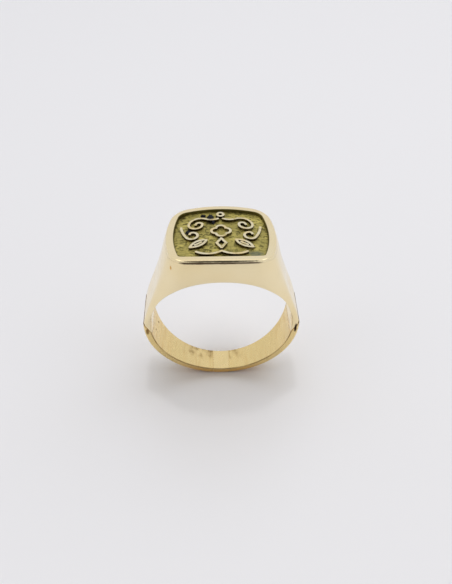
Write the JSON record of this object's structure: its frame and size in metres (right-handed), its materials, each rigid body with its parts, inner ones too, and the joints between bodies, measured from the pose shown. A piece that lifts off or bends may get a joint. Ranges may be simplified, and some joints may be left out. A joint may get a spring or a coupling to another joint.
{
  "type": "signet ring",
  "caption": "Signet finger ring with a domed cushion face: a raised frame round a sunk ground that carries applied scrollwork, on a tapered shank with a bottom insert.",
  "frame": {"origin": "centre of the finger bore, on its axis midway between the ring's two edges", "axes": "+Y along the finger bore, +Z from the bore to the face, +X across the face"},
  "size_m": [0.0215, 0.0132, 0.0239],
  "materials": {
    "head_gold": "polished",
    "shank_gold": "polished",
    "insert_gold": "polished",
    "ground_gold": "satin",
    "ornament_gold": "polished",
    "solder": "satin"
  },
  "bodies": {
    "root": {"head_shell": "head_gold", "face_frame": "head_gold", "back_plate": "head_gold", "frame_solder": "solder", "ground_plate": "ground_gold", "shank_left": "shank_gold", "shank_right": "shank_gold", "sizing_insert": "insert_gold", "side_solder_left": "solder", "side_solder_right": "solder", "bottom_solder_left": "solder", "bottom_solder_right": "solder", "bead": "ornament_gold", "leaf_left": "ornament_gold", "leaf_right": "ornament_gold", "lozenge": "ornament_gold", "rosette": "ornament_gold", "scroll_left": "ornament_gold", "scroll_right": "ornament_gold", "swag": "ornament_gold", "tendril_left": "ornament_gold", "tendril_right": "ornament_gold"}
  },
  "joints": []
}
